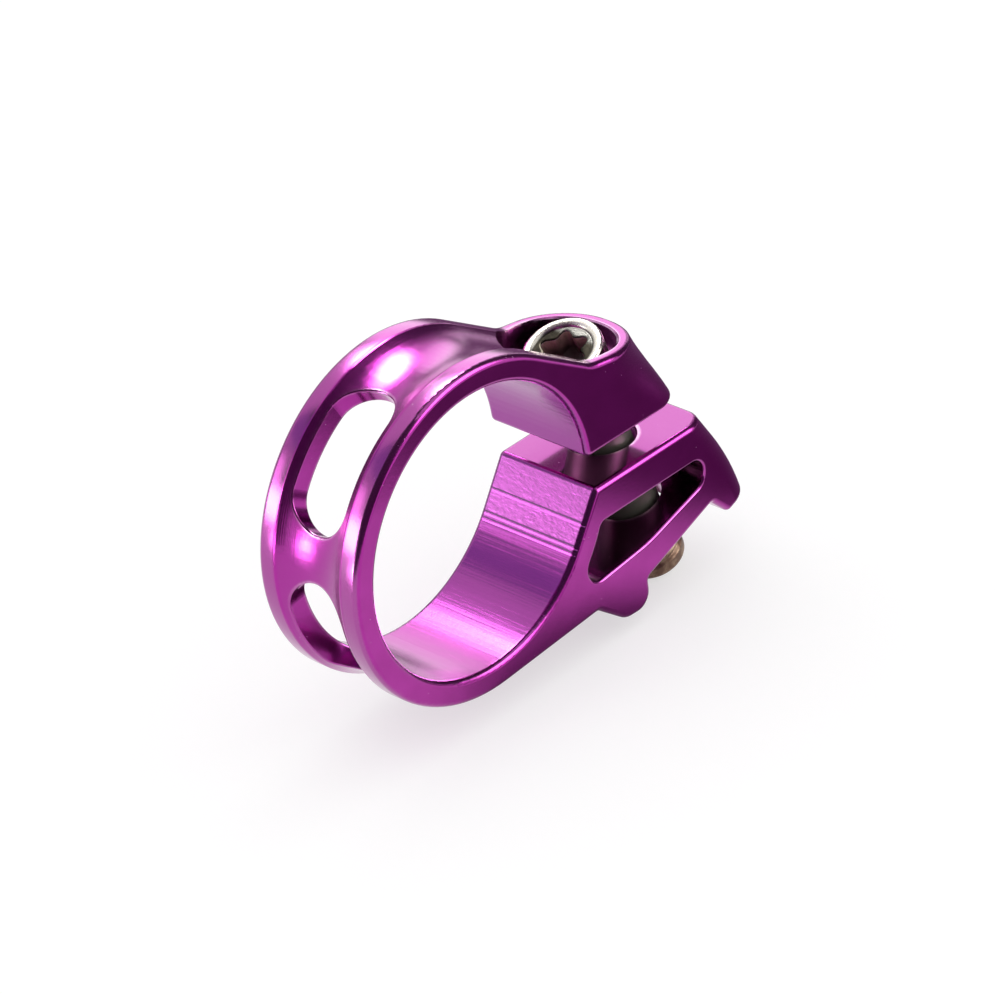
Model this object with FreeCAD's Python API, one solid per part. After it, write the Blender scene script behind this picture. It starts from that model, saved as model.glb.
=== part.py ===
import FreeCAD
import Part
import math
import os

# Bicycle shifter clamp: a slotted, grooved band with two ears, closed by one bolt.
# Origin at the centre of the bar bore, at mid-width. The bar runs along Y, the ears reach
# toward +X and Z stands square to the gap between the ears. All lengths in millimetres.

# Band round the bar
bar_d = 22.2
band_w = 9.55
band_t = 2.0
edge_r = 0.45

# Groove milled round the outside of the band
groove_depth = 0.85
groove_half_w = 3.15
groove_stop_gap = 0.6
groove_edge_r = 0.3

# Two long slots through the groove floor, measured as angles from +X
slot_w = 5.1
slot_start = 108.4
slot_span = 52.0
slot_bridge = 18.9
slot_edge_r = 0.12

# Gap between the ears
gap_top = 0.51
gap_bottom = -2.33
gap_corner_r = 0.5

# Bolt line: leans toward the bar, square to the shifter seat
bolt_tilt = 20.0
bolt_x = 17.5

# Upper ear
ear_fall = 31.8
ear_top_fall = 9.0
ear_dip_r = 3.0
ear_reach = 4.85
ear_nose_flat = 0.35
ear_corner_low = 1.8
pocket_d = 7.9
pocket_depth = 3.55
head_seat_h = 6.85
upper_hole_d = 5.2

# Lower ear: gap leaf, window and slanted seat plate
relief_start = 33.0
leaf_end_x = 23.95
leaf_end_lean = 32.7
leaf_end_z = -4.85
leaf_end_r = 22.0
leaf_corner = 1.8
lower_hole_d = 5.3
bottom_rise = 3.9
seat_h = -9.06
seat_inner_u = -4.37
seat_outer_u = 3.5
hook_depth = 2.2
hook_tip_u = 4.55
hook_r = 0.5
root_r = 0.4
knob_wall_x = 16.6
knob_low_z = -14.72
knob_toe_x = 13.85
knob_toe_lift = 0.12
knob_heel_x = 11.0
knob_corner_r = 1.4
knob_toe_r = 1.6
knob_heel_r = 0.8
window_top_z = -5.3
window_end_set = 0.75
window_end_z = -7.5
window_bend_x = 16.7
window_bend_z = -9.38
window_heel_fall = 6.0
window_r = 1.15
window_bend_r = 10.0
window_brow_r = 0.6
window_heel_r = 1.3
window_edge_r = 0.25

# Bolt
shank_d = 4.42
thread_d = 5.0
thread_len = 4.25
bolt_len = 20.4
end_chamfer = 0.4
head_d = 6.2
head_h = 2.7
head_edge = 0.28
ring_w = 0.8
face_drop = 0.25
socket_d = 3.94
socket_root_d = 2.85
socket_lobe_r = 0.31
socket_depth = 1.75
socket_turn = 30.0

bore_r = bar_d / 2
band_r = bore_r + band_t
half_w = band_w / 2
ear_top_h = head_seat_h + pocket_depth
window_end_x = leaf_end_x - window_end_set
ear_corner_top = half_w - ear_nose_flat / 2
groove_r = (groove_half_w ** 2 + groove_depth ** 2) / (2 * groove_depth)


def pt(x, z, y=0.0):
    return FreeCAD.Vector(x, y, z)


def polar(r, deg):
    return pt(r * math.cos(math.radians(deg)), r * math.sin(math.radians(deg)))


def bolt_point(u, h):
    """Profile point u outward from the bolt line and h up it from the lower gap face."""
    c = math.cos(math.radians(bolt_tilt))
    s = math.sin(math.radians(bolt_tilt))
    return pt(bolt_x + u * c - h * s, gap_bottom + u * s + h * c)


def bolt_dir():
    return bolt_point(0, 1) - bolt_point(0, 0)


def heading(deg):
    return pt(math.cos(math.radians(deg)), math.sin(math.radians(deg)))


def cross_point(p, d, q, e):
    """Where the line from p along d meets the line from q along e."""
    den = d.x * e.z - d.z * e.x
    k = ((q.x - p.x) * e.z - (q.z - p.z) * e.x) / den
    return p + d * k


def arc(centre, r, a0, a1):
    """Arc about a profile point from angle a0 to a1 in degrees."""
    mid = centre + polar(r, (a0 + a1) / 2)
    return Part.Arc(centre + polar(r, a0), mid, centre + polar(r, a1)).toShape()


def corner(prev, here, nxt, r):
    """Tangent points and arc that round one corner of a path."""
    a = (prev - here).normalize()
    b = (nxt - here).normalize()
    half = a.getAngle(b) / 2
    t = r / math.tan(half)
    p = here + a * t
    q = here + b * t
    mid_dir = (a + b).normalize()
    mid = here + mid_dir * (r / math.sin(half) - r)
    return p, q, Part.Arc(p, mid, q).toShape()


def path(points):
    """Edges of an open path of (point, radius) pairs, each inner corner rounded by its radius."""
    edges = []
    last = points[0][0]
    for k in range(1, len(points) - 1):
        here, r = points[k]
        if r > 0:
            p, q, bend = corner(points[k - 1][0], here, points[k + 1][0], r)
            edges.append(Part.makeLine(last, p))
            edges.append(bend)
            last = q
        else:
            edges.append(Part.makeLine(last, here))
            last = here
    edges.append(Part.makeLine(last, points[-1][0]))
    return edges


def upper_path(start):
    """Band top, dip, ear top, ear end and upper gap face up to the rounded gap corner."""
    fall = heading(-ear_fall)
    top = bolt_point(0, ear_top_h)
    along = heading(-ear_top_fall)
    dip = cross_point(start, fall, top, along)
    tip = cross_point(top, along, bolt_point(ear_reach, 0), bolt_dir())
    foot = cross_point(bolt_point(ear_reach, 0), bolt_dir(), pt(0, gap_top), pt(1, 0))
    end = pt(gap_corner_x(), gap_top)
    return path([(start, 0), (dip, ear_dip_r), (tip, 0), (foot, 0), (end, 0)])


def gap_corner_x():
    return math.sqrt((bore_r + gap_corner_r) ** 2 - (gap_top + gap_corner_r) ** 2)


def bore_edges():
    """Rounded corner of the upper gap face, then the bore round to the relief flat."""
    c = pt(gap_corner_x(), gap_top + gap_corner_r)
    turn = math.degrees(math.atan2(c.z, c.x))
    lip = arc(c, gap_corner_r, -90, turn - 180)
    return [lip, arc(pt(0, 0), bore_r, turn, 360 - relief_start)]


def leaf_end():
    """Straight then curved outer end of the lower ear, down to the hook."""
    top = pt(leaf_end_x, gap_bottom)
    run = (gap_bottom - leaf_end_z) / math.cos(math.radians(leaf_end_lean))
    knee = top + heading(leaf_end_lean - 90) * run
    centre = knee - polar(leaf_end_r, leaf_end_lean)
    low = circle_meets_line(centre, leaf_end_r, bolt_point(0, seat_h - hook_depth), heading(bolt_tilt))
    low_deg = math.degrees(math.atan2(low.z - centre.z, low.x - centre.x))
    return top, low, [Part.makeLine(top, knee), arc(centre, leaf_end_r, leaf_end_lean, low_deg)]


def circle_meets_line(centre, r, p, d):
    w = p - centre
    b = w.dot(d)
    k = -b + math.sqrt(b * b - w.dot(w) + r * r)
    return p + d * k


def seat_path(start, end):
    """Hook, seat plate and knob along the underside of the lower ear."""
    tip = bolt_point(hook_tip_u, seat_h - hook_depth)
    hook_root = bolt_point(seat_outer_u, seat_h)
    knob_root = bolt_point(seat_inner_u, seat_h)
    knob = pt(knob_wall_x, knob_low_z)
    toe = pt(knob_toe_x, knob_low_z + knob_toe_lift)
    heel = end + heading(bottom_rise) * ((knob_heel_x - end.x) / math.cos(math.radians(bottom_rise)))
    steps = [(start, 0), (tip, hook_r), (hook_root, root_r), (knob_root, root_r)]
    steps += [(knob, knob_corner_r), (toe, knob_toe_r), (heel, knob_heel_r), (end, 0)]
    return path(steps)


def outline():
    """Closed outline of the clamp seen along the bar."""
    band_start = -90 + bottom_rise
    band_end = 90 - ear_fall
    ring = arc(pt(0, 0), band_r, 360 + band_start, band_end)
    flat_start = polar(bore_r, -relief_start)
    flat_dir = heading(90 - relief_start)
    flat_top = cross_point(flat_start, flat_dir, pt(0, gap_bottom), pt(1, 0))
    leaf_top, hook_low, end_edges = leaf_end()
    edges = [ring]
    edges += upper_path(polar(band_r, band_end))
    edges += bore_edges()
    edges += path([(flat_start, 0), (flat_top, gap_corner_r), (leaf_top, 0)])
    edges += end_edges
    edges += seat_path(hook_low, polar(band_r, band_start))
    return Part.Wire(Part.__sortEdges__(edges))


def window():
    """Wedge window through the lower ear, its bar side following the band."""
    heel_dir = heading(180 + window_heel_fall)
    bend = pt(window_bend_x, window_bend_z)
    low_end = pt(window_end_x, window_end_z)
    high_end = pt(window_end_x, window_top_z)
    high_start = pt(math.sqrt(band_r ** 2 - window_top_z ** 2), window_top_z)
    heel = cross_point(bend, heel_dir, pt(0, 0), pt(0, 1))
    steps = [(high_start, 0), (high_end, window_r), (low_end, window_r), (bend, window_bend_r), (heel, 0)]
    edges = path(steps)
    edges.append(Part.makeLine(heel, high_start))
    block = across(Part.Wire(Part.__sortEdges__(edges)), half_w)
    block = block.cut(round_bar(band_r, half_w + 1))
    brow = [e for e in block.Edges if is_along_bar(e) and near(e.Vertexes[0].Point, high_start)]
    block = block.makeFillet(window_brow_r, brow)
    low = [e for e in block.Edges if is_along_bar(e) and e.CenterOfMass.z < window_bend_z - 0.1]
    return block.makeFillet(window_heel_r, low)


def is_along_bar(edge):
    a = edge.Vertexes[0].Point
    b = edge.Vertexes[-1].Point
    return abs(a.x - b.x) < 1e-6 and abs(a.z - b.z) < 1e-6 and len(edge.Vertexes) == 2


def across(wire, half):
    """Solid of a profile wire drawn out to both sides of mid-width."""
    face = Part.Face(wire)
    face.translate(FreeCAD.Vector(0, -half, 0))
    return face.extrude(FreeCAD.Vector(0, 2 * half, 0))


def round_bar(r, half):
    return Part.makeCylinder(r, 2 * half, FreeCAD.Vector(0, -half, 0), FreeCAD.Vector(0, 1, 0))


def end_edges_of(shape, a, b):
    """The two upright edges, near and far side, that run between two profile points."""
    found = []
    for e in shape.Edges:
        p = [v.Point for v in e.Vertexes]
        if len(p) != 2 or abs(p[0].y - p[1].y) > 1e-6 or abs(abs(p[0].y) - half_w) > 1e-6:
            continue
        p.sort(key=lambda v: -v.z)
        if near(p[0], a) and near(p[1], b):
            found.append(e)
    return found


def near(p, q):
    return math.hypot(p.x - q.x, p.z - q.z) < 0.01


def round_ear_ends(body):
    """Corners of the ears seen from above: wide round at the upper rim, tighter lower down."""
    top = bolt_point(0, ear_top_h)
    tip = cross_point(top, heading(-ear_top_fall), bolt_point(ear_reach, 0), bolt_dir())
    foot = cross_point(bolt_point(ear_reach, 0), bolt_dir(), pt(0, gap_top), pt(1, 0))
    for side in (-1, 1):
        edge = [e for e in end_edges_of(body, tip, foot) if e.CenterOfMass.y * side > 0]
        radii = [ear_corner_top, ear_corner_low]
        if not near(edge[0].valueAt(edge[0].FirstParameter), tip):
            radii.reverse()
        body = body.makeFillet(radii[0], radii[1], edge)
    leaf_top, low, edges = leaf_end()
    knee = edges[0].Vertexes[-1].Point
    picks = end_edges_of(body, leaf_top, knee) + end_edges_of(body, knee, low)
    return body.makeFillet(leaf_corner, picks)


def sharp_edges(shape):
    """Edges whose two faces meet at a clear angle."""
    found = []
    for e in shape.Edges:
        faces = shape.ancestorsOfType(e, Part.Face)
        if len(faces) != 2:
            continue
        p = e.valueAt((e.FirstParameter + e.LastParameter) / 2)
        n = [f.normalAt(*f.Surface.parameter(p)) for f in faces]
        if n[0].getAngle(n[1]) > math.radians(8):
            found.append(e)
    return found


def window_rims(body):
    """Edges of the window on the clamp's near and far sides."""
    reach = window().BoundBox
    rims = []
    for e in sharp_edges(body):
        c = e.CenterOfMass
        if abs(abs(c.y) - half_w) < 1e-4 and reach.isInside(pt(c.x, c.z)):
            rims.append(e)
    return rims


def groove():
    """Shallow round-bottomed groove round the band, up to the bolt pocket and under to the knob."""
    floor = band_r - groove_depth
    centre = pt(floor + groove_r, 0)
    disc = Part.Face(Part.Wire(Part.makeCircle(groove_r, centre, FreeCAD.Vector(0, 0, 1))))
    first = 90 - ear_fall
    last = 270 + bottom_rise
    disc.rotate(pt(0, 0), FreeCAD.Vector(0, 1, 0), -first)
    ring = disc.revolve(pt(0, 0), FreeCAD.Vector(0, -1, 0), last - first)
    up_start = polar(floor + groove_r, first)
    up_run = heading(-ear_fall) * (bolt_point(-pocket_d / 4, ear_top_h) - polar(band_r, first)).Length
    low_start = polar(floor + groove_r, last)
    low_reach = knob_heel_x - groove_stop_gap - groove_half_w - low_start.x
    low_run = heading(bottom_rise) * (low_reach / math.cos(math.radians(bottom_rise)))
    cuts = [ring]
    for start, run in ((up_start, up_run), (low_start, low_run)):
        cuts.append(Part.makeCylinder(groove_r, run.Length, start, run))
        cuts.append(Part.makeSphere(groove_r, start + run))
    return cuts


def slot(start):
    """Long slot with round ends, cut straight through the band."""
    end_turn = math.degrees(slot_w / 2 / (band_r - groove_depth / 2))
    a0 = start + end_turn
    a1 = start + slot_span - end_turn
    inside = bore_r / 2
    side = Part.makePlane(band_r, slot_w, FreeCAD.Vector(inside, -slot_w / 2, 0), FreeCAD.Vector(0, 0, 1))
    side.rotate(pt(0, 0), FreeCAD.Vector(0, 1, 0), -a0)
    cuts = [side.revolve(pt(0, 0), FreeCAD.Vector(0, -1, 0), a1 - a0)]
    for a in (a0, a1):
        cuts.append(Part.makeCylinder(slot_w / 2, band_r, polar(inside, a), polar(1, a)))
    return cuts


def groove_edges(body):
    """Edges where the groove leaves the band's two rims."""
    return [e for e in sharp_edges(body) if abs(abs(e.CenterOfMass.y) - groove_half_w) < 0.01]


def slot_edges(body):
    """Edges of the two slots, inside and outside the band."""
    picks = []
    for e in sharp_edges(body):
        box = e.BoundBox
        if box.XMax < 0 and max(box.YMax, -box.YMin) < groove_half_w:
            picks.append(e)
    return picks


def bolt_rod(r, h0, h1):
    return Part.makeCylinder(r, h1 - h0, bolt_point(0, h0), bolt_dir())


def clamp_body():
    body = across(outline(), half_w)
    body = round_ear_ends(body)
    body = body.makeFillet(edge_r, sharp_edges(body))
    body = body.cut(window())
    body = body.makeFillet(window_edge_r, window_rims(body))
    cuts = groove() + slot(slot_start) + slot(slot_start + slot_span + slot_bridge)
    cuts.append(bolt_rod(pocket_d / 2, head_seat_h, head_seat_h + band_r))
    mid_gap_h = (gap_top - gap_bottom) / 2
    cuts.append(bolt_rod(upper_hole_d / 2, mid_gap_h, head_seat_h + band_t))
    cuts.append(bolt_rod(lower_hole_d / 2, seat_h - band_t, mid_gap_h))
    for c in cuts:
        body = body.cut(c)
    body = body.makeFillet(groove_edge_r, groove_edges(body))
    return body.makeFillet(slot_edge_r, slot_edges(body))


def socket():
    """Six-lobed driver recess, drawn from tangent arcs."""
    a = socket_d / 2 - socket_lobe_r
    b = socket_root_d / 2
    near_side = math.sqrt(3) * a
    spread = socket_lobe_r ** 2 - a * a - b * b + near_side * b
    flute = spread / (2 * b - near_side - 2 * socket_lobe_r)
    share = socket_lobe_r / (socket_lobe_r + flute)
    lobes = []
    for k in range(6):
        deg = socket_turn + 60 * k
        lobe = plan(a, deg)
        before = plan(b + flute, deg - 30)
        after = plan(b + flute, deg + 30)
        p = lobe + (before - lobe) * share
        q = lobe + (after - lobe) * share
        nxt = plan(a, deg + 60)
        q2 = nxt + (after - nxt) * share
        lobes.append(Part.Arc(p, plan(socket_d / 2, deg), q).toShape())
        lobes.append(Part.Arc(q, plan(b, deg + 30), q2).toShape())
    return Part.Face(Part.Wire(Part.__sortEdges__(lobes))).extrude(FreeCAD.Vector(0, 0, socket_depth + 1))


def plan(r, deg):
    return FreeCAD.Vector(r * math.cos(math.radians(deg)), r * math.sin(math.radians(deg)), 0)


def clamp_bolt():
    """Small-headed bolt, drawn upright with its head seat at zero and then laid on the bolt line."""
    top = head_h
    inner = head_d / 2 - ring_w
    tip = -bolt_len
    turn = tip + thread_len
    grow = (thread_d - shank_d) / 2
    steps = [(0, top - face_drop), (inner, top - face_drop), (inner + face_drop, top)]
    steps += [(head_d / 2 - head_edge, top), (head_d / 2, top - head_edge)]
    steps += [(head_d / 2, 0), (shank_d / 2, 0)]
    steps += [(shank_d / 2, turn), (thread_d / 2, turn - grow), (thread_d / 2, tip + end_chamfer)]
    steps += [(thread_d / 2 - end_chamfer, tip), (0, tip), (0, top - face_drop)]
    wire = Part.makePolygon([FreeCAD.Vector(r, 0, z) for r, z in steps])
    bolt = Part.Face(wire).revolve(FreeCAD.Vector(0, 0, 0), FreeCAD.Vector(0, 0, 1), 360)
    recess = socket()
    recess.translate(FreeCAD.Vector(0, 0, top - face_drop - socket_depth))
    bolt = bolt.cut(recess)
    seat = bolt_point(0, head_seat_h)
    turn_axis = FreeCAD.Rotation(FreeCAD.Vector(0, 1, 0), -bolt_tilt)
    bolt.Placement = FreeCAD.Placement(seat, turn_axis).multiply(bolt.Placement)
    return bolt


os.makedirs("parts", exist_ok=True)
clamp_body().exportStep("parts/clamp_body.step")
clamp_bolt().exportStep("parts/clamp_bolt.step")
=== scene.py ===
import math

import bmesh
import bpy
from mathutils import Matrix, Vector


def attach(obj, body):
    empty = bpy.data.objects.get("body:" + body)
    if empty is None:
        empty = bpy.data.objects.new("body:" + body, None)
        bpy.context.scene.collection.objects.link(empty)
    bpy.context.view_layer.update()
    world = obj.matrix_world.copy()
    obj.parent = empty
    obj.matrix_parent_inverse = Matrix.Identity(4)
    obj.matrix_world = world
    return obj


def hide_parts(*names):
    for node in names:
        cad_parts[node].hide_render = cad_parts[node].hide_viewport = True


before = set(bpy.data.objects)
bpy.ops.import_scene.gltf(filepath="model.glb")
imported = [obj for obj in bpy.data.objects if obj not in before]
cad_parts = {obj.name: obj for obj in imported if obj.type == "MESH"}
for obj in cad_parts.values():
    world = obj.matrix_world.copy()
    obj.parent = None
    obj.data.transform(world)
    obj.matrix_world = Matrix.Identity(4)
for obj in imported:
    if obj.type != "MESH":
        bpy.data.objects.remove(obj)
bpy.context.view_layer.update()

# Sizes in millimetres and angles in degrees, as in the part's source.
# Everything is scaled to metres when it is built.
MM = 0.001
bore_r = 11.1
gap_top = 0.51
gap_bottom = -2.33
band_half_w = 4.775
groove_half_w = 3.15
bolt_tilt = 20.0
bolt_x = 17.5
head_seat_h = 6.85
pocket_r = 3.95
shank_r = 2.21
neck_r = 0.05
thread_r = 2.5
thread_root_r = 2.26
thread_pitch = 0.8
thread_len = 4.25
thread_start = 0.4
thread_runout = 0.7
plain_end = 0.85
bolt_len = 20.4
end_r = 0.5
end_chamfer = 0.06
head_r = 3.1
head_h = 2.7
head_edge = 0.28
ring_w = 0.8
ring_flat = 0.05
face_drop = 0.25
socket_r = 1.97
socket_root_r = 1.425
socket_depth = 1.75
socket_turn = 30.0
socket_dip = 0.06
floor_z = -15.85

tilt = math.radians(bolt_tilt)
tilt_cos, tilt_sin = math.cos(tilt), math.sin(tilt)

# Camera, from the photograph's viewing angle
IMAGE_WIDTH_PX = 995
FOCAL_PX = 6000.0
SENSOR_MM = 36.0
CLIP_M = (0.01, 20.0)
view_target = (3.45, -2.939, 0.576)
view_azimuth = -44.833
view_elevation = 31.14
view_roll = 5.537
view_distance = 426.01


def heading(azimuth, elevation):
    """Unit direction from the object: azimuth 0 is -Y and 90 is +X, elevation is above the floor."""
    a, e = math.radians(azimuth), math.radians(elevation)
    return Vector((math.sin(a) * math.cos(e), -math.cos(a) * math.cos(e), math.sin(e)))


def link(name, data):
    obj = bpy.data.objects.new(name, data)
    bpy.context.scene.collection.objects.link(obj)
    return obj


# ---------------------------------------------------------------- node helpers

class Graph:
    """Short names for the shader nodes that the materials use."""

    def __init__(self, name):
        self.material = bpy.data.materials.new(name)
        self.material.use_nodes = True
        self.tree = self.material.node_tree
        self.tree.nodes.clear()
        self.out = self.tree.nodes.new("ShaderNodeOutputMaterial")

    def node(self, kind, **values):
        made = self.tree.nodes.new(kind)
        for key, value in values.items():
            setattr(made, key, value)
        return made

    def wire(self, source, target):
        self.tree.links.new(source, target)

    def put(self, socket, value):
        if isinstance(value, (int, float, tuple)):
            socket.default_value = value
        else:
            self.wire(value, socket)

    # Numbers

    def math(self, operation, a, b=0.0, clamp=False):
        made = self.node("ShaderNodeMath", operation=operation, use_clamp=clamp)
        self.put(made.inputs[0], a)
        self.put(made.inputs[1], b)
        return made.outputs[0]

    def add(self, a, b):
        return self.math("ADD", a, b)

    def sub(self, a, b, clamp=False):
        return self.math("SUBTRACT", a, b, clamp)

    def mul(self, value, *factors):
        for factor in factors:
            value = self.math("MULTIPLY", value, factor)
        return value

    def total(self, value, *parts):
        """A value plus several others, each given as (value, factor)."""
        for part, factor in parts:
            value = self.add(value, self.mul(part, factor))
        return value

    def absolute(self, value):
        return self.math("ABSOLUTE", value)

    def length(self, a, b):
        return self.math("SQRT", self.add(self.mul(a, a), self.mul(b, b)))

    def ramp(self, value, low, high, to_low=0.0, to_high=1.0):
        """Smooth step of a value from low to high."""
        made = self.node("ShaderNodeMapRange", interpolation_type="SMOOTHSTEP")
        for socket, v in zip(made.inputs[:5], (value, low, high, to_low, to_high)):
            self.put(socket, v)
        return made.outputs[0]

    # Places and patterns

    def own_place(self):
        return self.node("ShaderNodeTexCoord").outputs["Object"]

    def place_mm(self):
        return self.stretch(self.own_place(), (1 / MM, 1 / MM, 1 / MM))

    def stretch(self, vector, scale):
        made = self.node("ShaderNodeVectorMath", operation="MULTIPLY")
        self.put(made.inputs[0], vector)
        self.put(made.inputs[1], scale)
        return made.outputs[0]

    def split(self, vector):
        made = self.node("ShaderNodeSeparateXYZ")
        self.put(made.inputs[0], vector)
        return made.outputs

    def noise(self, vector, scale=1.0, detail=2.0):
        made = self.node("ShaderNodeTexNoise")
        self.put(made.inputs["Vector"], vector)
        self.put(made.inputs["Scale"], scale)
        self.put(made.inputs["Detail"], detail)
        return made.outputs["Fac"]

    def streaks(self, a, a_scale, b, b_scale, detail, layer=0.0):
        """Noise over two measures, drawn out along the one with the smaller scale."""
        made = self.node("ShaderNodeCombineXYZ")
        for socket, v in zip(made.inputs, (self.mul(a, a_scale), self.mul(b, b_scale), layer)):
            self.put(socket, v)
        return self.noise(made.outputs[0], 1.0, detail)

    def ball(self):
        """1 at the object's own origin, falling to 0 at a distance of 1."""
        made = self.node("ShaderNodeTexGradient", gradient_type="SPHERICAL")
        self.put(made.inputs[0], self.own_place())
        return made.outputs["Fac"]

    def edges(self, reach):
        """0 on open faces, rising to 1 along outer corners; reach in millimetres."""
        made = self.node("ShaderNodeAmbientOcclusion", inside=True, only_local=True, samples=8)
        made.inputs["Distance"].default_value = reach * MM
        return self.sub(1.0, made.outputs["AO"])

    def seen_directly(self):
        """1 for camera, glossy and transmission rays, 0 for rays that light other surfaces."""
        path = self.node("ShaderNodeLightPath")
        both = self.math("MAXIMUM", path.outputs["Is Camera Ray"], path.outputs["Is Glossy Ray"])
        return self.math("MAXIMUM", both, path.outputs["Is Transmission Ray"])

    # Colours, relief and shaders

    def mix(self, share, a, b):
        made = self.node("ShaderNodeMix", data_type="RGBA")
        self.put(made.inputs[0], share)
        self.put(made.inputs[6], a)
        self.put(made.inputs[7], b)
        return made.outputs[2]

    def paint(self, colour, *layers):
        """A colour with others laid over it in turn, each given as (share, colour)."""
        for share, over in layers:
            colour = self.mix(share, colour, over)
        return colour

    def relief(self, *layers):
        """Normal of bumps laid over each other, each (pattern, height in metres, share)."""
        normal = None
        for pattern, height, share in layers:
            made = self.node("ShaderNodeBump")
            self.put(made.inputs["Height"], pattern)
            self.put(made.inputs["Distance"], height)
            self.put(made.inputs["Strength"], share)
            if normal is not None:
                self.wire(normal, made.inputs["Normal"])
            normal = made.outputs[0]
        return normal

    def metal(self, colour, metallic, rough, normal):
        made = self.node("ShaderNodeBsdfPrincipled")
        self.put(made.inputs["Base Color"], colour)
        self.put(made.inputs["Metallic"], metallic)
        self.put(made.inputs["Roughness"], rough)
        self.put(made.inputs["Normal"], normal)
        self.wire(made.outputs[0], self.out.inputs[0])
        return made

    def emission(self, colour=(1, 1, 1, 1), strength=1.0):
        made = self.node("ShaderNodeEmission")
        self.put(made.inputs["Color"], colour)
        self.put(made.inputs["Strength"], strength)
        return made

    def fade(self, share, shader):
        """Shows a shader by its share, and lets sight through by the rest."""
        clear = self.node("ShaderNodeBsdfTransparent")
        both = self.node("ShaderNodeMixShader")
        self.wire(share, both.inputs[0])
        self.wire(clear.outputs[0], both.inputs[1])
        self.wire(shader.outputs[0], both.inputs[2])
        self.wire(both.outputs[0], self.out.inputs[0])


def bolt_place(g, x, y, z):
    """A point's sideways place from the bolt's axis, height along it and distance from it."""
    lean_x = g.sub(x, bolt_x)
    lean_z = g.sub(z, gap_bottom)
    u = g.add(g.mul(lean_x, tilt_cos), g.mul(lean_z, tilt_sin))
    h = g.sub(g.mul(lean_z, tilt_cos), g.mul(lean_x, tilt_sin))
    return u, h, g.length(u, y)


# ---------------------------------------------------------------- anodised body

# Dye on each kind of face, painted shade for the hollows, pale worn edges that are also painted
# highlight, and dust
dye_deep = (0.345, 0.003, 0.268, 1)
dye_light = (0.39, 0.009, 0.308, 1)
dye_groove = (0.36, 0.024, 0.29, 1)
dye_rim = (0.36, 0.065, 0.30, 1)
dye_bore = (0.325, 0.042, 0.30, 1)
dye_flat = (0.25, 0.042, 0.24, 1)
dye_low_bore = (0.29, 0.034, 0.235, 1)
dye_gap = (0.31, 0.033, 0.25, 1)
# painted shade: near-black colour for the pocket round the bolt head and the window
hollow_painted_shade = (0.05, 0.001, 0.03, 1)
# pale outer edges: partly edge wear, partly painted highlight so that lit edges read whiter
edge_wear_and_highlight = (0.62, 0.36, 0.57, 1)
dust = (0.75, 0.5, 0.7, 1)

# Where a finish or a painted shade starts and where it is full: cosines, millimetres or degrees round
# the bore
facing_out = (0.5, 0.8)
facing_in = (-0.5, -0.8)
facing_level = (0.97, 0.995)
not_facing_down = (-0.4, -0.2)
bore_wall = (bore_r + 1.6, bore_r + 1.2)
groove_side = (groove_half_w, groove_half_w - 0.3)
rim_side = (groove_half_w, groove_half_w + 0.3)
flat_low_end = (-37, -34)
flat_high_end = (0, -5)
bore_low_end = (-74, -96)
# the pocket and window ranges place the painted shade in the hollows
pocket_wall = (pocket_r + 0.15, pocket_r + 0.02)
pocket_mouth = (head_seat_h + 3.3, head_seat_h + 2.4)
pocket_seat = (head_seat_h - 0.4, head_seat_h - 0.1)
window_depth = (4.7, 4.0)
window_left = (12.1, 12.4)
window_right = (23.5, 23.3)
window_top = (-5.0, -5.2)
window_roof = (-5.9, -5.6)
window_sill = (-10.6, -10.4)

# Three long marks in the bore, in degrees, and their half width in radians
draw_marks = (-24.5, -33.6, -36.0)
mark_edge = (0.016, 0.004)


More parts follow.
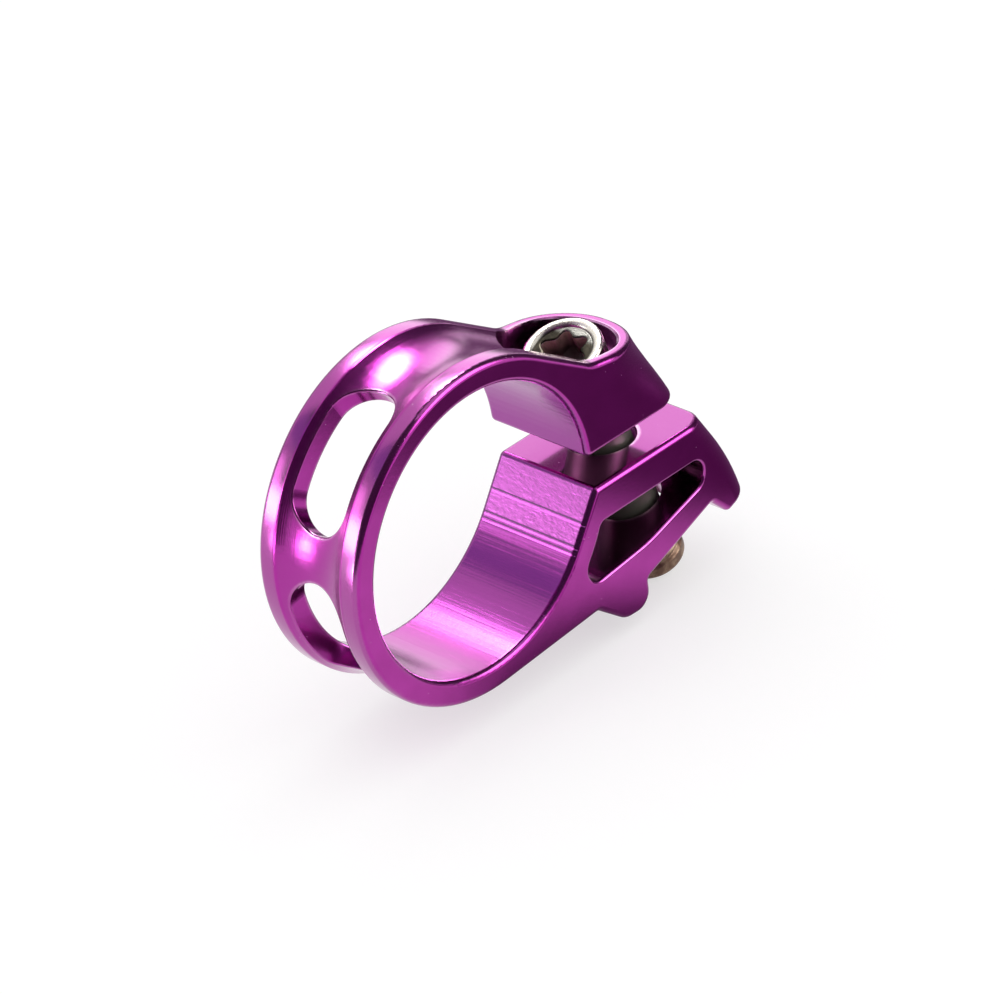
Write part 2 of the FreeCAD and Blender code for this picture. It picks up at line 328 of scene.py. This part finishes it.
def anodised():
    """Magenta anodised aluminium: polished gap, hooped groove, drawn bore with a pebbled flat."""
    g = Graph("anodised_magenta")
    mm = g.place_mm()
    x, y, z = g.split(mm)
    nx, _, nz = g.split(g.node("ShaderNodeNewGeometry").outputs["True Normal"])
    radius = g.length(x, z)
    outward = g.math("DIVIDE", g.add(g.mul(x, nx), g.mul(z, nz)), radius)
    turn = g.math("ARCTAN2", z, x)
    off_middle = g.absolute(y)

    def turned(start, full):
        return g.ramp(turn, math.radians(start), math.radians(full))

    # Where each finish lies, and the painted shade in the pocket and window
    inside = g.mul(g.ramp(outward, *facing_in), g.ramp(radius, *bore_wall))
    on_flat = g.mul(inside, turned(*flat_low_end), turned(*flat_high_end))
    round_bore = g.sub(inside, g.mul(on_flat, 0.75))
    low_bore = g.mul(inside, turned(*bore_low_end))
    outside = g.ramp(outward, *facing_out)
    wrap = g.mul(outside, g.ramp(off_middle, *groove_side))
    rim = g.mul(outside, g.ramp(off_middle, *rim_side))
    gap_middle = (gap_top + gap_bottom) / 2
    gap_half = gap_top - gap_middle
    off_gap = g.absolute(g.sub(z, gap_middle))
    gap = g.mul(g.ramp(g.absolute(nz), *facing_level),
                g.ramp(off_gap, gap_half + 0.05, gap_half + 0.02))

    _, h, from_bolt = bolt_place(g, x, y, z)
    # painted shade: the pocket round the bolt head and the window are darkened
    pocket = g.mul(g.ramp(from_bolt, *pocket_wall), g.ramp(h, *pocket_mouth),
                   g.ramp(h, *pocket_seat))
    window = g.mul(g.math("MAXIMUM", g.ramp(nz, *not_facing_down), g.ramp(z, *window_roof)),
                   g.ramp(off_middle, *window_depth),
                   g.ramp(x, *window_left), g.ramp(x, *window_right),
                   g.ramp(z, *window_top), g.ramp(z, *window_sill))
    hollow = g.math("MAXIMUM", pocket, window)

    # Fine relief, its patterns measured in millimetres
    peel = g.noise(mm, 3.0)
    grain = g.noise(mm, 9.0)
    pebble = g.noise(g.stretch(mm, (6.0, 3.2, 6.0)), detail=3.0)
    swell = g.noise(g.stretch(mm, (2.8, 1.5, 2.8)))
    across = g.mul(turn, bore_r)
    draw = g.streaks(across, 5.0, y, 0.1, 4.0)
    bands = g.streaks(across, 1.7, y, 0.06, 2.0, 3.0)
    hoops = g.streaks(turn, 2.2, y, 14.0, 4.0)
    marks = 0.0
    for deg in draw_marks:
        off_mark = g.absolute(g.sub(turn, math.radians(deg)))
        marks = g.add(marks, g.ramp(off_mark, *mark_edge))
    rim_half = (band_half_w - groove_half_w) / 2
    off_rim = g.math("DIVIDE", g.sub(off_middle, groove_half_w + rim_half), rim_half)
    crown = g.sub(1.0, g.mul(off_rim, off_rim))
    unpolished = g.sub(1.0, g.mul(gap, 0.9))
    normal = g.relief(
        (peel, 4e-6, unpolished),
        (grain, 1.1e-6, g.sub(unpolished, g.mul(inside, 0.7), clamp=True)),
        (pebble, 1.6e-5, g.total(g.mul(on_flat, 0.32), (inside, 0.12))),
        (draw, 1.7e-5, round_bore),
        (bands, 3e-5, round_bore),
        (swell, 1.3e-5, on_flat),
        (marks, 3e-5, inside),
        (hoops, 8e-6, wrap),
        (crown, 4e-5, rim),
    )

    # Colour: a slight drift in the dye, a tone for each kind of face, painted shade in the hollows,
    # worn edges paled further as painted highlight, dust specks
    fleck = g.node("ShaderNodeTexVoronoi", feature="F1")
    g.put(fleck.inputs["Vector"], mm)
    g.put(fleck.inputs["Scale"], 1.5)
    speck = g.mul(g.ramp(fleck.outputs["Distance"], 0.055, 0.03),
                  g.ramp(g.noise(mm, 0.6), 0.5, 0.55), g.sub(1.0, inside))
    # Edge wear and painted highlight: outer corners paled, patchy by noise
    edge_wear_and_highlight_share = g.mul(g.ramp(g.edges(0.4), 0.1, 0.45),
                 g.ramp(g.noise(mm, 2.2, 3.0), 0.25, 0.6, 0.55, 0.95))
    colour = g.paint(
        g.mix(g.ramp(g.noise(mm, 0.35), 0.3, 0.7), dye_deep, dye_light),
        (g.mul(wrap, 0.8), dye_groove),
        (g.mul(rim, 0.85), dye_rim),
        (inside, dye_bore),
        (on_flat, dye_flat),
        (low_bore, dye_low_bore),
        (gap, dye_gap),
        # painted shade darkens the pocket and window
        (g.mul(hollow, 0.75), hollow_painted_shade),
        # edge wear and painted highlight on the outer corners
        (edge_wear_and_highlight_share, edge_wear_and_highlight),
        (g.mul(speck, 0.7), dust),
    )
    rough = g.total(0.15, (grain, 0.08), (inside, 0.03), (gap, -0.09), (speck, 0.3))

    skin = g.metal(colour, 1.0, rough, normal)
    skin.inputs["Coat Weight"].default_value = 0.55
    skin.inputs["Coat Roughness"].default_value = 0.2
    skin.inputs["Coat IOR"].default_value = 1.5
    return g.material


# ---------------------------------------------------------------- bolt

steel_bright = (0.62, 0.60, 0.57, 1)
steel_stained = (0.50, 0.48, 0.45, 1)
steel_shank = (0.20, 0.195, 0.16, 1)
# painted highlight: the head's ring coloured near-white
ring_painted_highlight = (0.86, 0.82, 0.72, 1)
face_dark = (0.02, 0.017, 0.012, 1)
# painted reflection: grey patch on one side of the head's face
face_painted_reflection = (0.17, 0.165, 0.15, 1)
# painted shade: the recess darkens towards its floor; the rust colour is its own
socket_floor_painted_shade = (0.04, 0.02, 0.02, 1)
socket_rust = (0.42, 0.24, 0.22, 1)
end_dark = (0.17, 0.10, 0.068, 1)
end_bronze = (0.31, 0.21, 0.14, 1)


def steel():
    """Turned steel: ring paled as painted highlight, dark face with a painted reflection on one side,
    rusty recess with painted shade towards its floor, dull shank and a bronzed, used end.
    """
    g = Graph("bolt_steel")
    mm = g.place_mm()
    u, h, radius = bolt_place(g, *g.split(mm))
    ring_h = head_seat_h + head_h
    face_h = ring_h - face_drop
    ring_in_r = head_r - ring_w
    thread_h = head_seat_h - bolt_len + thread_len

    # Where each finish lies, with the painted highlight on the ring, painted reflection on the face
    # and painted shade in the recess
    on_ring = g.mul(g.ramp(h, ring_h - 0.5, ring_h - 0.3),
                    g.ramp(radius, ring_in_r, ring_in_r + 0.2))
    on_face = g.mul(g.ramp(h, face_h - 0.15, face_h - 0.05),
                    g.ramp(radius, ring_in_r + 0.2, ring_in_r))
    in_socket = g.mul(g.ramp(h, face_h - 0.05, face_h - 0.2),
                      g.ramp(radius, socket_r + 0.1, socket_r),
                      g.ramp(h, head_seat_h, head_seat_h + 0.5))
    on_shank = g.ramp(h, head_seat_h + 0.1, head_seat_h - 0.1)
    at_end = g.ramp(h, thread_h + 0.5, thread_h - 0.6)

    stain = g.noise(mm, 1.4, 4.0)
    # painted shade: 0 at the recess floor, 1 at the face
    depth = g.ramp(h, face_h - socket_depth, face_h)
    blotch = g.ramp(g.noise(mm, 1.6), 0.4, 0.6, 0.6, 1.0)
    colour = g.paint(
        g.mix(g.ramp(stain, 0.35, 0.75), steel_bright, steel_stained),
        (on_shank, steel_shank),
        # painted reflection: the face turns grey towards one side
        (on_face, g.mix(g.ramp(u, 1.2, 1.8), face_dark, face_painted_reflection)),
        # painted highlight on the head's ring
        (on_ring, ring_painted_highlight),
        # recess: painted shade towards the floor, rust blotches nearer the face
        (in_socket, g.mix(g.mul(depth, blotch), socket_floor_painted_shade, socket_rust)),
        (at_end, g.mix(g.ramp(stain, 0.4, 0.6), end_dark, end_bronze)),
    )

    turning = g.streaks(radius, 16.0, h, 16.0, 2.0)
    pits = g.noise(mm, 12.0, 3.0)
    normal = g.relief((turning, 8e-6, 1.0), (pits, 6e-6, 1.0))
    rough = g.total(0.2, (stain, 0.14), (in_socket, 0.15), (on_face, -0.05), (on_shank, 0.14))
    dull = g.total(g.mul(in_socket, 0.6), (on_shank, 0.2))
    g.metal(colour, g.sub(1.0, dull), rough, normal)
    return g.material


def unit(value):
    return min(max(value, 0.0), 1.0)


def socket_edge(deg):
    """Radius of the six-lobed recess at an angle round the head."""
    lobe_fullness = 1.15
    wave = math.cos(math.radians(6 * (deg - socket_turn)))
    share = (wave + 1) / 2
    return socket_root_r + (socket_r - socket_root_r) * share ** lobe_fullness


def thread_radius(deg, z):
    """Radius of the threaded end at an angle and a height above the tip."""
    root_flat, flank = 0.16, 0.66
    phase = (z / thread_pitch - deg / 360.0) % 1.0
    ridge = unit((1 - abs(2 * phase - 1) - root_flat) / flank)
    cut = unit((z - plain_end) / thread_start)
    fade_in = unit((thread_len - z) / thread_runout)
    short = max(end_r - z, 0.0)
    crest = thread_r - end_r + math.sqrt(max(end_r ** 2 - short ** 2, 0.0))
    full = crest - (thread_r - thread_root_r) * (1 - ridge) * cut
    return shank_r + (full - shank_r) * fade_in


def bolt_rings():
    """Rings of (radius at an angle, height), from the recess's floor over the head to the tip."""
    wall_steps, round_steps, shank_steps, rings_a_turn, end_steps = 5, 6, 8, 14, 6
    face = head_h - face_drop
    inner = head_r - ring_w
    floor = face - socket_depth
    rings = []

    def level(radius, z):
        rings.append((lambda deg, r=radius: r, z))

    def lobed(grow, z):
        rings.append((lambda deg, k=grow: socket_edge(deg) + k, z))

    # Recess: drilled floor, lobed wall and eased rim
    level(0.35, floor - 0.34)
    level(0.8, floor - 0.16)
    lobed(-0.14, floor)
    lobed(-0.02, floor + 0.05)
    for k in range(1, wall_steps + 1):
        lobed(0.0, floor + (socket_depth - 0.1) * k / wall_steps)
    lobed(0.03, face - 0.03)
    lobed(0.1, face)
    lobed(0.2, face)

    # Head: raised ring, rounded edge, side and underside
    lip = head_r - head_edge - ring_flat - inner
    for k in range(round_steps + 1):
        rise = math.sin(math.pi / 2 * k / round_steps) ** 0.6
        level(inner + lip * k / round_steps, face + face_drop * rise)
    for k in range(round_steps + 1):
        a = math.radians(90 * k / round_steps)
        level(head_r - head_edge * (1 - math.sin(a)), head_h - head_edge * (1 - math.cos(a)))
    level(head_r, 0.12)
    level(head_r - 0.02, 0.03)
    level(head_r - 0.06, 0.0)

    # Shank, thread and rounded tip
    level(shank_r + neck_r, 0.0)
    level(shank_r, -neck_r)
    run = bolt_len - thread_len
    for k in range(1, shank_steps + 1):
        level(shank_r, -neck_r - (run - neck_r) * k / shank_steps)
    turns = int(round(thread_len / thread_pitch * rings_a_turn))
    heights = [end_r + (thread_len - end_r) * (1 - k / turns) for k in range(1, turns + 1)]
    for k in range(1, end_steps + 1):
        heights.append(end_r * (1 - math.sin(math.radians(90 / end_steps * k))))
    for z in heights:
        rings.append((lambda deg, h=z: thread_radius(deg, h), z - bolt_len))
    level(thread_r - end_r - end_chamfer, -bolt_len)
    level(0.6, -bolt_len)
    return rings


def bolt():
    """Small round-headed bolt with a lobed recess, a plain shank and a cut thread at its end."""
    around = 144
    sharp_angle = 40
    shape = bmesh.new()
    loops = []
    for radius, z in bolt_rings():
        loop = []
        for k in range(around):
            deg = 360.0 * k / around
            r = radius(deg)
            a = math.radians(deg)
            loop.append(shape.verts.new((r * math.cos(a) * MM, r * math.sin(a) * MM, z * MM)))
        loops.append(loop)
    for low, high in zip(loops, loops[1:]):
        for k in range(around):
            n = (k + 1) % around
            shape.faces.new((low[k], low[n], high[n], high[k]))
    for loop, dip in ((loops[0], socket_dip), (loops[-1], 0.0)):
        centre = shape.verts.new((0, 0, loop[0].co.z - dip * MM))
        for k in range(around):
            shape.faces.new((loop[k], loop[(k + 1) % around], centre))
    bmesh.ops.recalc_face_normals(shape, faces=shape.faces)
    mesh = bpy.data.meshes.new("hex_lobe_bolt")
    shape.to_mesh(mesh)
    shape.free()
    seat = Vector((bolt_x - head_seat_h * tilt_sin, 0, gap_bottom + head_seat_h * tilt_cos)) * MM
    mesh.transform(Matrix.Translation(seat) @ Matrix.Rotation(-tilt, 4, "Y"))
    for face in mesh.polygons:
        face.use_smooth = True
    mesh.set_sharp_from_angle(angle=math.radians(sharp_angle))
    return link("clamp_bolt_detail", mesh)


# ---------------------------------------------------------------- stage and light

# Light cards: name, azimuth and elevation, distance in metres, width and height in degrees,
# strength at the middle, and how much of the way in the light takes to reach it
light_cards = (
    ("key_card", 132, 55.5, 0.55, 34, 35, 30.0, 0.5),
    ("back_card", 131, 19, 0.6, 37, 42, 2.1, 0.5),
    ("right_card", 32, 20, 0.55, 58, 54, 7.0, 0.8),
    ("left_card", -127, 7, 0.3, 34, 22, 12.0, 0.5),
    ("left_high_card", -137, 19, 0.5, 24, 28, 3.0, 0.6),
)

# Walls: name, azimuths and elevations in degrees, distance in metres, tone
wall_dark = (0.08, 0.045, 0.085, 1)
wall_blue = (0.44, 0.37, 0.62, 1)
wall_grey = (0.45, 0.44, 0.45, 1)
walls = (
    ("dark_camera_side", (-86, 4), (-8, 89), 0.11, wall_dark),
    ("dark_left", (-126, -86), (11, 89), 0.8, wall_dark),
    ("dark_left_high", (-153, -126), (50, 89), 0.8, wall_dark),
    ("blue_left", (-156, -126), (35, 50), 0.8, wall_blue),
    ("dark_overhead", (4, 195), (72, 89), 0.8, wall_dark),
    ("dark_right", (60, 110), (-2, 72), 0.8, wall_dark),
    ("grey_back", (153, 203), (-1, 22), 0.8, wall_grey),
)

# Floor and what lies just over it; lifts in millimetres, other lengths in metres
floor_half = 2.0
paper_low = (0.45, 0.45, 0.45, 1)
paper_high = (0.48, 0.48, 0.48, 1)
paper_lift = 0.57
shade_lift = 0.1
shade_middle = (9.5, -4.5)
shade_half = (0.0145, 0.0085)
shade_tone = (0.1, 0.05, 0.1, 1)
glow_lift = 0.2
table_edge_lift = 0.3
table_edge_far = 0.6
table_edge_way = (0.919, -0.394)
table_edge_start = (25.0, 36.0)
table_edge_front = (-64.0, -46.0)
table_edge_tone = (0.15, 0.06, 0.145, 1)


def sheet(name, low, high, z=0.0):
    """A level rectangle between two corners."""
    mesh = bpy.data.meshes.new(name)
    corners = [(low[0], low[1], z), (high[0], low[1], z), (high[0], high[1], z), (low[0], high[1], z)]
    mesh.from_pydata(corners, [], [(0, 1, 2, 3)])
    return link(name, mesh)


def unit_sheet(name):
    return sheet(name, (-1, -1), (1, 1))


def in_reflections(obj, material):
    """A studio piece that the metal mirrors, and that neither the camera nor the floor sees."""
    obj.data.materials.append(material)
    obj.visible_camera = False
    obj.visible_diffuse = False
    obj.visible_shadow = False
    obj.visible_transmission = False


def glow(name, core, spread):
    """Soft-edged light, brightest at the middle."""
    g = Graph(name)
    ball = g.ball()
    g.fade(g.ramp(ball, 0.0, 0.08), g.emission(strength=g.ramp(ball, 0.0, spread, 0.0, core)))
    return g.material


def card(name, azimuth, elevation, distance, wide, high, core, spread):
    """A light card that faces the object, its size given as angles seen from there."""
    obj = unit_sheet(name)
    out = heading(azimuth, elevation)
    half_w = distance * math.tan(math.radians(wide / 2))
    half_h = distance * math.tan(math.radians(high / 2))
    turn = out.to_track_quat("Z", "Y").to_matrix().to_4x4()
    size = Matrix.Diagonal((half_w, half_h, 1.0, 1.0))
    obj.matrix_world = Matrix.Translation(out * distance) @ turn @ size
    in_reflections(obj, glow(name, core, spread))


def floor_glow(name, azimuth, distance, half_len, half_w, core, spread):
    """A bright patch of floor, seen only in reflections; sizes in metres."""
    obj = unit_sheet(name)
    spot = heading(azimuth, 0) * distance
    spot.z = (floor_z + glow_lift) * MM
    turn = Matrix.Rotation(math.radians(azimuth - 90), 4, "Z")
    size = Matrix.Diagonal((half_len, half_w, 1.0, 1.0))
    obj.matrix_world = Matrix.Translation(spot) @ turn @ size
    in_reflections(obj, glow(name, core, spread))


def wall(name, azimuths, elevations, distance, tone):
    """Part of a studio wall round the object, seen only in reflections."""
    steps = 16
    row = steps + 1
    points, faces = [], []
    for i in range(row):
        for j in range(row):
            a = azimuths[0] + (azimuths[1] - azimuths[0]) * i / steps
            e = elevations[0] + (elevations[1] - elevations[0]) * j / steps
            points.append(heading(a, e) * distance)
    for i in range(steps):
        for j in range(steps):
            k = i * row + j
            faces.append((k, k + row, k + row + 1, k + 1))
    mesh = bpy.data.meshes.new(name)
    mesh.from_pydata(points, [], faces)
    g = Graph(name)
    g.wire(g.emission(tone).outputs[0], g.out.inputs[0])
    in_reflections(link(name, mesh), g.material)


def contact_shade():
    """The shaded floor right under the clamp, seen only in reflections."""
    obj = unit_sheet("contact_shade")
    spot = Vector((*shade_middle, floor_z + shade_lift)) * MM
    obj.matrix_world = Matrix.Translation(spot) @ Matrix.Diagonal((*shade_half, 1.0, 1.0))
    g = Graph("contact_shade")
    g.fade(g.math("MINIMUM", g.mul(g.ball(), 1.8), 0.84), g.emission(shade_tone))
    in_reflections(obj, g.material)


def dark_table_edge():
    """Dark end of the table, right of the object, seen only in reflections; it fades in softly."""
    far = table_edge_far
    obj = sheet("table_edge", (0.0, -far), (far, far), (floor_z + table_edge_lift) * MM)
    g = Graph("table_edge_fade")
    x, y, _ = g.split(g.place_mm())
    out = g.add(g.mul(x, table_edge_way[0]), g.mul(y, table_edge_way[1]))
    share = g.mul(g.ramp(out, *table_edge_start), g.ramp(y, *table_edge_front))
    g.fade(share, g.emission(table_edge_tone))
    in_reflections(obj, g.material)


def table():
    """Pale floor under the object; direct sight of it is lifted to white, its shadow stays."""
    obj = sheet("floor", (-floor_half, -floor_half), (floor_half, floor_half), floor_z * MM)
    g = Graph("floor_paper")
    paper = g.node("ShaderNodeBsdfDiffuse")
    g.put(paper.inputs["Color"], g.mix(g.noise(g.place_mm(), 3.0, 3.0), paper_low, paper_high))
    lift = g.emission(strength=g.mul(g.seen_directly(), paper_lift))
    both = g.node("ShaderNodeAddShader")
    g.wire(paper.outputs[0], both.inputs[0])
    g.wire(lift.outputs[0], both.inputs[1])
    g.wire(both.outputs[0], g.out.inputs[0])
    obj.data.materials.append(g.material)


def surroundings():
    """Even white room light."""
    world = bpy.data.worlds.new("white_room")
    bpy.context.scene.world = world
    world.use_nodes = True
    sky = world.node_tree.nodes["Background"]
    sky.inputs["Color"].default_value = (1, 1, 1, 1)
    sky.inputs["Strength"].default_value = 1.0


def light():
    for row in light_cards:
        card(*row)
    floor_glow("left_floor_glow", -112, 0.185, 0.135, 0.036, 32.0, 0.9)
    for row in walls:
        wall(*row)
    contact_shade()
    dark_table_edge()


def camera():
    data = bpy.data.cameras.new("view")
    data.sensor_width = SENSOR_MM
    data.lens = FOCAL_PX / IMAGE_WIDTH_PX * SENSOR_MM
    data.clip_start, data.clip_end = CLIP_M
    obj = link("view", data)
    back = heading(view_azimuth, view_elevation)
    look = (-back).to_track_quat("-Z", "Y").to_matrix().to_4x4()
    roll = Matrix.Rotation(math.radians(-view_roll), 4, "Z")
    spot = (Vector(view_target) + back * view_distance) * MM
    obj.matrix_world = Matrix.Translation(spot) @ look @ roll
    bpy.context.scene.camera = obj


surroundings()
table()
light()
camera()

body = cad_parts["clamp_body"]
body.data.materials.clear()
body.data.materials.append(anodised())

screw = bolt()
screw.data.materials.append(steel())
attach(screw, "bolt")
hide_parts("clamp_bolt")

bpy.context.scene.view_settings.view_transform = "Standard"
